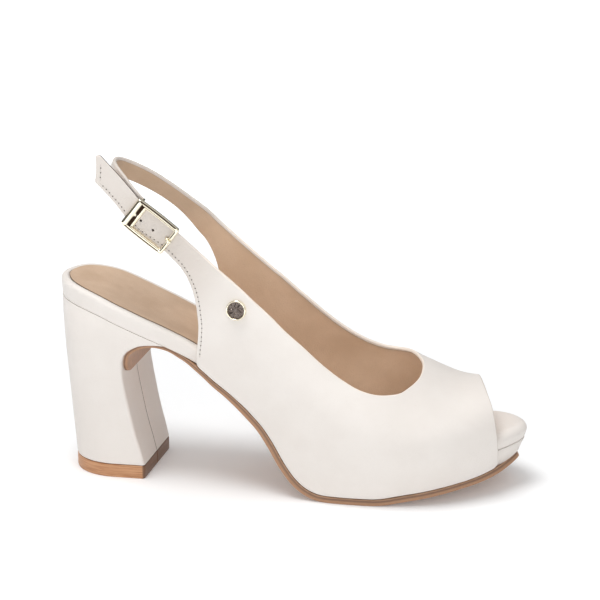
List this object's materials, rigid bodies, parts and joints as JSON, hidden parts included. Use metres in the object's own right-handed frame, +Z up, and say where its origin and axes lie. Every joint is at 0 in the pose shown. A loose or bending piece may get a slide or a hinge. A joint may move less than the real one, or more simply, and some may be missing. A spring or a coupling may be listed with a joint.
{
  "type": "peep toe sandal",
  "caption": "Right peep toe slingback sandal in off-white leather on a block heel and a hidden platform, with a buckled heel strap and a small round stud.",
  "frame": {"origin": "middle of the underside of the heel tip", "axes": "+X towards the toe, +Y towards the inner side of the foot, +Z up"},
  "size_m": [0.2208, 0.0847, 0.1577],
  "materials": {
    "upper_leather": "smooth matt off-white leather, beige leather lining",
    "cover_leather": "smooth matt off-white leather",
    "sock_leather": "matt beige leather",
    "outsole": "matt tan brown",
    "heel_tip": "matt orange tan",
    "gold_metal": "polished pale gold",
    "pewter_metal": "dark polished"
  },
  "bodies": {
    "root": {"outsole": "outsole", "platform": "cover_leather", "insole_board": "cover_leather", "insole_sock": "sock_leather", "heel": "cover_leather", "top_piece": "heel_tip", "upper": "upper_leather", "buckle_frame": "gold_metal", "buckle_prong": "gold_metal", "stud_rim": "gold_metal", "stud_disc": "pewter_metal"}
  },
  "joints": []
}
